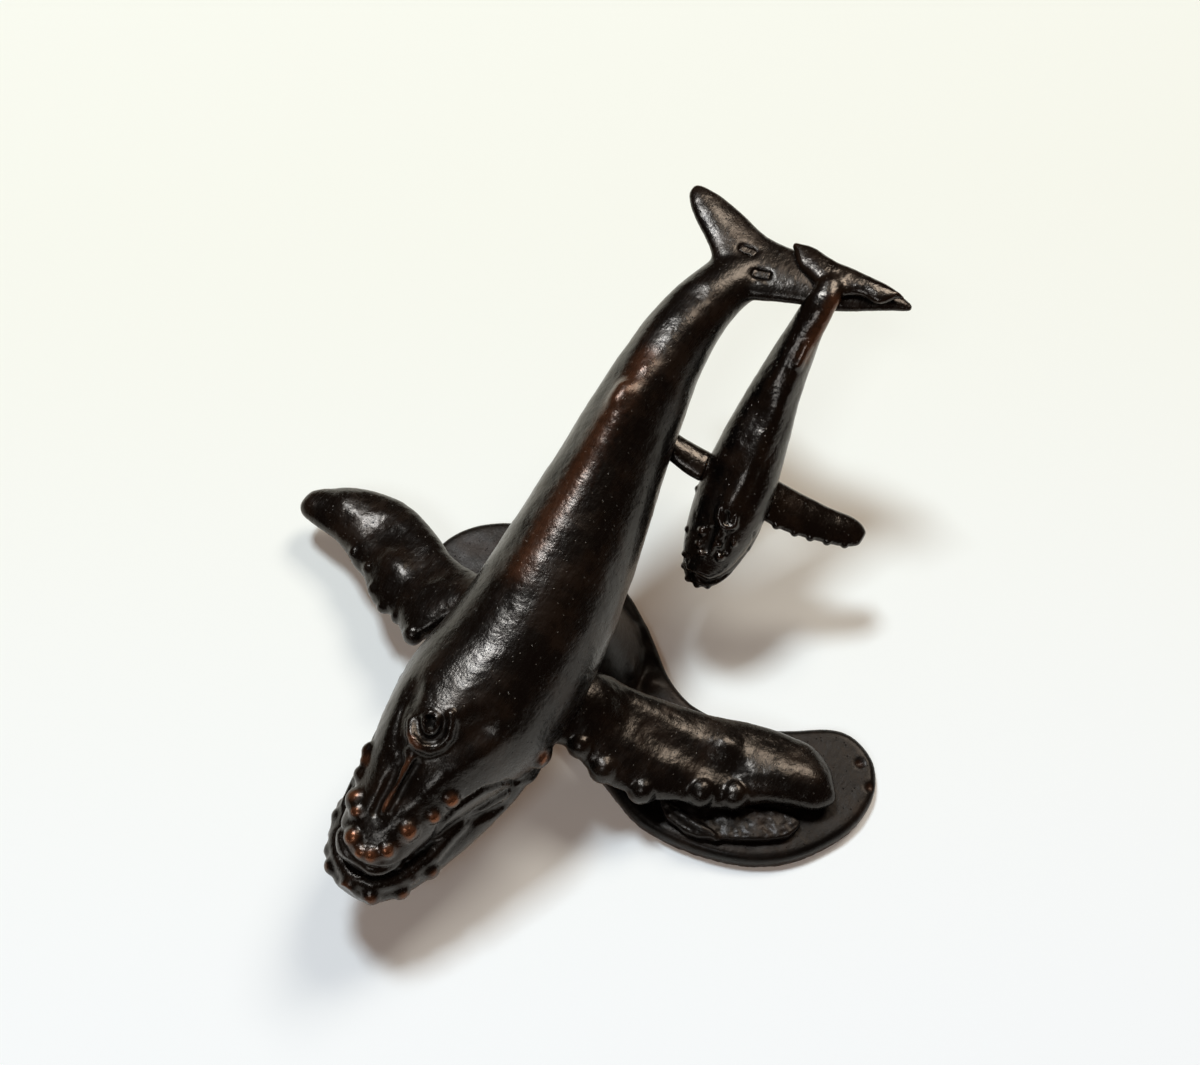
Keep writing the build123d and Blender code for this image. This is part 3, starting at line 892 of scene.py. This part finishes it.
    def shape_head(self, skin: Casting) -> None:
        """Hollows the brow, and lays the lips, ridges, tubercles, eyes and blowhole guard.

        Args:
            skin: Casting of body and flukes.
        """
        camera = self.camera
        brow = skin.track(self.brow, camera)
        skin.carve(brow, depth=1.25, width=3.8)
        skin.carve(self.far_line(skin, brow[:3]), depth=0.6, width=3.0)
        skin.carve(skin.track(self.far_brow, camera), depth=0.7, width=2.6)
        skin.look_up()
        lip = skin.track(self.lip, camera)
        for line in (lip, self.far_line(skin, lip[5:])):
            skin.ridge(line, radius=1.5, stand=0.35, taper=0.25)
        for place in spread([self.level(pixel, lip) for pixel in self.inner_lip], 0.9 * MM):
            for centre in (place, self.across(place)):
                skin.knob(centre, camera.axes()[2], radius=1.9, stand=0.8)
        skin.ridge(skin.track(self.median, camera), radius=1.1, stand=0.3, taper=0.4)
        skin.ridge(skin.track(self.guard, camera), radius=1.05, stand=0.3, taper=0.3)
        fold = skin.track(self.cheek_fold, camera)
        for line in (fold, self.far_line(skin, fold)):
            skin.ridge(line, radius=1.1, stand=0.5, taper=0.3)
        skin.stud(self.knobs + self.lip_knobs, camera, stand=0.42)
        # The hidden flank repeats the knobs and the eye of the near one
        for u, v, radius in self.knobs[:3] + self.lip_knobs[5:]:
            point, _ = skin.seen((u, v), camera)
            skin.knob(*skin.nearest(self.across(point)), radius, stand=0.35)
        eye, _ = skin.seen(self.eye, camera)
        for place in (eye, self.across(eye)):
            skin.knob(*skin.nearest(place), self.eye_radius, stand=0.15, stretch=(0.7, 1.1, 1.0))

    def cut_lines(self, skin: Casting) -> None:
        """Cuts the mouth, the blowhole, the creases and the throat pleats.

        Args:
            skin: Casting of body and flukes.
        """
        mouth = skin.track(self.mouth, self.camera)
        for line in (mouth, self.far_line(skin, mouth[10:])):
            skin.carve(line, depth=0.6, width=0.85)
        hollow = skin.track(self.lip_hollow, self.camera)
        for line in (hollow, self.far_line(skin, hollow)):
            skin.carve(line, depth=0.6, width=1.3)
        skin.engrave(self.grooves, self.camera)
        points, normals = skin.points(), skin.normals()
        along = smoothstep(*self.pleat_start, points[:, 1]) * (1 - smoothstep(*self.pleat_end, points[:, 1]))
        under = smoothstep(*self.pleat_facing, -normals[:, 2])
        wave = np.cos(2 * math.pi * points[:, 0] / self.pleat_step)
        skin.move(points - normals * (self.pleat_depth * along * under * np.maximum(wave, 0.0))[:, None])

    def polish(self, skin: Casting) -> None:
        """Rubs knobs, eye, lip and spine to copper, and leaves the rest of the skin dark.

        Args:
            skin: Casting of body and flukes.
        """
        touched = [self.median, self.copper_spot, dot(self.eye)]
        touched += [dot(lump) for lump in self.knobs + self.lip_knobs]
        lines = [skin.track(row, self.camera) for row in touched]
        handled = np.max([skin.near(line, self.touch_width) for line in lines], axis=0)
        bare = [*self.bare]
        bare += [Patch(dot(lump), self.knob_bare, self.knob_bare_reach * lump[2]) for lump in self.knobs]
        more = np.max([patch.share * skin.near(skin.track(patch.row, self.camera), patch.reach)
                       for patch in bare], axis=0)
        keep = self.untouched + (1 - self.untouched) * handled
        skin.rub(reach=2.0, low=0.12, high=0.5, more=more, keep=keep)

    def flipper(self, node: str, knobs: Lumps, bumps: Lumps, hollow: Row) -> Casting:
        """Makes one flipper, uneven on top, with the knobs along its leading edge.

        Args:
            node: CAD node of the flipper.
            knobs: Places and radii of the knobs.
            bumps: Places and radii of the low swellings on its top.
            hollow: Line of the shallow hollow along its top.

        Returns:
            The flipper, not yet dressed.
        """
        flipper = Casting(node + "_casting", (node,), Fineness.FLIPPER, softening=5)
        flipper.pour()
        flipper.carve(flipper.track(hollow, self.camera), depth=0.5, width=3.6)
        flipper.look_up()
        flipper.swell(bumps, self.camera, rise=0.22, reach=1.8)
        flipper.look_up()
        flipper.stud(knobs, self.camera, stand=0.56)
        flipper.fuse(times=7)
        flipper.roughen(size=4.0, height=0.35)
        flipper.rub(reach=1.8, low=0.14, high=0.60, keep=0.2)
        return flipper


@dataclass
class Calf:
    """Calf: body, flukes and both flippers. Sizes are millimetres, places are pixels."""

    camera: PhotoCamera
    knobs: Lumps = (
        (696, 488, 0.6), (687, 529, 0.6), (681, 554, 0.6), (682, 566, 0.6), (687, 579, 0.65),
        (696, 587, 0.65), (708, 590, 0.6), (702, 531, 0.8), (699, 544, 0.7), (702, 553, 0.75),
        (719, 545, 0.6), (720, 557, 0.85), (734, 544, 0.6))
    crest: Row = (
        (834, 303), (818, 330), (803, 357), (787, 390), (770, 425), (755, 455), (742, 485), (731, 503))
    dorsal: Row = ((807, 347), (798, 365))
    guard: Row = ((719, 508), (718, 517), (721, 525), (728, 529), (735, 526), (737, 517))
    median: Row = ((721, 530), (716, 541), (711, 553))
    grooves: tuple[Groove, ...] = (
        Groove("far brow", ((712, 530), (709, 540), (706, 549)), 0.5, 1.0),
        Groove("near brow", ((730, 534), (727, 543), (725, 551)), 0.5, 1.0),
        Groove("mouth", ((754, 533), (748, 554), (737, 569), (722, 579), (706, 582), (693, 573),
                         (688, 556)), 0.35, 0.5),
        Groove("blowhole", ((727, 513), (727, 521)), 0.45, 0.5))
    left_knobs: Lumps = (
        (776, 527, 0.75), (794, 535, 0.75), (810, 539, 0.75), (827, 543, 0.75), (845, 546, 0.7))

    def build(self, bronze: Material) -> None:
        """Makes and dresses all castings of the calf.

        Args:
            bronze: Finish of the castings.
        """
        camera = self.camera
        whole = Casting("calf_casting", ("calf_body", "calf_flukes"), Fineness.CALF, softening=8)
        whole.pour()
        whole.stud(self.knobs, camera, stand=0.3)
        crest = whole.track(self.crest, camera)
        whole.carve(crest, depth=-0.5, width=2.6)
        whole.look_up()
        whole.carve(whole.track(self.dorsal, camera), depth=-0.5, width=1.3)
        whole.ridge(whole.track(self.guard, camera), radius=0.62, stand=0.25, taper=0.3)
        whole.ridge(whole.track(self.median, camera), radius=0.55, stand=0.35, taper=0.3)
        whole.fuse(times=2)
        whole.engrave(self.grooves, camera)
        whole.roughen(size=3.0, height=0.2)
        tail = 0.7 * whole.near(crest[:3], width=2.6)
        whole.rub(reach=1.3, low=0.07, high=0.32, more=tail, keep=0.25)
        point, way = seat("calf_flukes")
        castings = list(whole.halve((point, -way), "calf_body", "calf_flukes"))
        for node, knobs in (("calf_left_flipper", self.left_knobs), ("calf_right_flipper", ())):
            flipper = Casting(node + "_casting", (node,), Fineness.CALF_BLADE, softening=4)
            flipper.pour()
            flipper.stud(knobs, camera, stand=0.5)
            flipper.fuse(times=2)
            flipper.roughen(size=2.5, height=0.15)
            flipper.rub(reach=1.0, low=0.08, high=0.30, keep=0.15)
            castings.append(flipper)
        for casting in castings:
            casting.dress(bronze, "patinated_bronze")


@dataclass
class Foot:
    """Base plate with its mound, and the rock ledge on it. Places are pixels of the photograph."""

    camera: PhotoCamera
    nicks: Row = ((860, 763), (870, 787))
    mound_bumps: Lumps = ((631, 667, 1.7), (645, 655, 1.3), (652, 683, 1.5), (640, 630, 1.6))
    flake: Row = ((662, 798), (674, 811), (694, 825), (719, 839))
    flat_below: float = 0.45

    def build(self, bronze: Material) -> None:
        """Makes and dresses the base and the ledge.

        Args:
            bronze: Finish of the castings.
        """
        plate = Casting("base_casting", ("base",), Fineness.BASE, softening=6)
        plate.pour()
        plate.roughen(size=9.0, height=0.35)
        plate.swell(self.mound_bumps, self.camera, rise=0.3, reach=1.5)
        # The underside is ground flat
        points = plate.points()
        points[:, 2] = np.where(points[:, 2] < self.flat_below, 0.0, points[:, 2])
        plate.move(points)
        nicks = [plate.track(dot(pixel), self.camera) for pixel in self.nicks]
        for nick in nicks:
            plate.carve(nick, depth=0.5, width=1.0)
        worn = 0.6 * np.max([plate.near(nick, width=1.1) for nick in nicks], axis=0)
        plate.rub(reach=2.2, low=0.25, high=0.9, more=worn, keep=0.1)
        ledge = Casting("rock_ledge_casting", ("rock_ledge",), Fineness.LEDGE, softening=2)
        ledge.pour()
        ledge.ridge(ledge.track(self.flake, self.camera), radius=0.75, stand=0.2, taper=0.4)
        ledge.fuse(times=1)
        ledge.roughen(size=2.6, height=0.8)
        ledge.rub(reach=1.0, low=0.12, high=0.5, keep=0.2)
        for casting in (plate, ledge):
            casting.dress(bronze, "patinated_bronze")


@dataclass
class Fasteners:
    """Tail plugs, dowels and screws. The last two keep the shape of their CAD nodes."""

    screws: str = "base_screws"
    plug_sink: float = 0.25

    def build(self, bronze: Material, rod: Material, brass: Material) -> None:
        """Sinks the plugs a little, and dresses them, the dowels and the screws.

        Args:
            bronze: Finish of the plugs.
            rod: Finish of the dowels.
            brass: Finish of the screws.
        """
        plugs = Casting("tail_plugs_casting", ("tail_plugs",), Fineness.PLUG, softening=3)
        plugs.pour()
        plugs.move(plugs.points() - np.array((0.0, 0.0, self.plug_sink)))
        plugs.rub(reach=0.5, low=0.04, high=0.3)
        plugs.dress(bronze, "patinated_bronze")
        for name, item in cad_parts.items():
            if name == self.screws:
                finish = brass
            elif name.endswith("_dowel"):
                finish = rod
            else:
                continue
            item.data.materials.clear()
            item.data.materials.append(finish)
            log.info("%s: CAD shape kept", name)


@dataclass(frozen=True)
class Softbox:
    """Square soft lamp that looks at the figurine. Sizes are millimetres."""

    name: str
    way: tuple[float, float, float]
    distance: float
    size: float
    watts: float
    colour: str

    def build(self) -> None:
        """Adds the lamp to the scene."""
        data = bpy.data.lights.new(self.name, "AREA")
        data.energy = self.watts
        data.color = linear(self.colour)[:3]
        data.size = self.size * MM
        lamp = bpy.data.objects.new(self.name, data)
        way = Vector(self.way).normalized()
        lamp.location = LAMP_AIM + way * self.distance * MM
        lamp.rotation_euler = way.to_track_quat("Z", "Y").to_euler()
        bpy.context.scene.collection.objects.link(lamp)


@dataclass
class Studio:
    """Pale floor and soft light of the photograph. Sizes are millimetres."""

    # Painted window light: the floor's two tints stand for the warm window light near the window and less of
    # it further off
    floor_painted_window_warmth: str = "#edf4ea"
    floor_painted_far_coolness: str = "#f3fcff"
    floor_size: float = 1600.0
    floor_roughness: float = 0.85
    floor_glow: float = 0.11
    glow_colour: str = "#ffd6b6"
    painted_window_light_way: tuple[float, float, float] = (1.0, -1.4, 0.0)
    lamps: tuple[Softbox, ...] = (
        Softbox("window_behind", (0.07, 0.62, 0.78), 3600.0, 1200.0, 58.0, "#fff2e4"),
        Softbox("lamp_overhead", (-0.33, 0.19, 0.92), 1500.0, 300.0, 16.6, "#eef6ff"),
        Softbox("room_in_front", (0.08, -0.58, 0.81), 2500.0, 620.0, 8.6, "#f0f7ff"))
    sky_colour: str = "#ffbf92"
    sky_strength: float = 0.055
    wall_colour: str = "#f1f0ec"

    def card(self) -> Material:
        """Makes the matt white card of the floor, with painted window light on it.

        Returns:
            Node material that reads Object coordinates.
        """
        material, tree = empty_material("matt_white_card")
        place = add(tree, "TexCoord").outputs["Object"]
        # Painted window light: the card is painted a little warmer towards the window and cooler away from
        # it, in place of the window's warm light falling on it
        away = add(tree, "VectorMath", {0: place, 1: self.painted_window_light_way},
                   operation="DOT_PRODUCT").outputs["Value"]
        painted_window_share = ramp(tree, away, start=-0.18, end=0.16, soft=True)
        colour = mix(tree, painted_window_share, linear(self.floor_painted_window_warmth), linear(self.floor_painted_far_coolness))
        matt = add(tree, "BsdfPrincipled", {
            "Base Color": colour, "Roughness": self.floor_roughness}).outputs["BSDF"]
        # Part of the card glows for the eye and for reflections, so that its shadows stay pale
        rays = add(tree, "LightPath").outputs
        looked_at = maths(tree, "ADD", rays["Is Camera Ray"], rays["Is Glossy Ray"])
        reached = maths(tree, "ADD", looked_at, rays["Is Transmission Ray"], clamp=True)
        share = maths(tree, "MULTIPLY", reached, self.floor_glow)
        glow = add(tree, "Emission", {"Color": linear(self.glow_colour)}).outputs["Emission"]
        front = add(tree, "MixShader", {0: share, 1: matt, 2: glow}).outputs["Shader"]
        # The card is clear from below, so that the underside can be looked at
        below = add(tree, "NewGeometry").outputs["Backfacing"]
        clear = add(tree, "BsdfTransparent").outputs["BSDF"]
        shader = add(tree, "MixShader", {0: below, 1: front, 2: clear}).outputs["Shader"]
        add(tree, "OutputMaterial", {"Surface": shader})
        return material

    def room(self) -> bpy.types.World:
        """Makes the room, which looks pale to the eye and lights the bronze only a little.

        Returns:
            World with its node tree.
        """
        world = bpy.data.worlds.new("pale_room")
        world.use_nodes = True
        tree = world.node_tree
        tree.nodes.clear()
        sky = add(tree, "Background", {
            "Color": linear(self.sky_colour), "Strength": self.sky_strength}).outputs["Background"]
        wall = add(tree, "Background", {"Color": linear(self.wall_colour)}).outputs["Background"]
        eye = add(tree, "LightPath").outputs["Is Camera Ray"]
        shader = add(tree, "MixShader", {0: eye, 1: sky, 2: wall}).outputs["Shader"]
        add(tree, "OutputWorld", {"Surface": shader})
        return world

    def build(self) -> None:
        """Adds the floor, the lamps and the world."""
        scene = bpy.context.scene
        scene.view_settings.view_transform = "Standard"
        bpy.ops.object.select_all(action="DESELECT")
        bpy.ops.mesh.primitive_plane_add(size=self.floor_size * MM, location=(0, 0, 0))
        floor = bpy.context.active_object
        floor.name = "floor"
        floor.data.materials.append(self.card())
        for lamp in self.lamps:
            lamp.build()
        scene.world = self.room()


def main() -> None:
    """Builds the studio and every sub-assembly, and reports each piece."""
    logging.basicConfig(level=logging.INFO, format="%(message)s")
    camera = PhotoCamera()
    camera.build()
    Studio().build()
    bronze = PatinatedBronze("patinated_bronze").build()
    # The calf stands out and is rubbed most, and hands never reach the plate, so it stays dull
    buffed = PatinatedBronze("patinated_bronze_buffed", shine=0.7, smoothest=0.14, roughest=0.27).build()
    unbuffed = PatinatedBronze("patinated_bronze_unbuffed", shine=0.22, smoothest=0.34, roughest=0.5).build()
    rod = DrawnMetal("drawn_bronze_rod", "#a8794a", "#7a5636").build()
    brass = DrawnMetal("turned_brass", "#c9a75c", "#93763f").build()
    Foot(camera).build(unbuffed)
    MotherWhale(camera).build(bronze)
    Calf(camera).build(buffed)
    Fasteners().build(bronze, rod, brass)


if __name__ == "__main__":
    main()
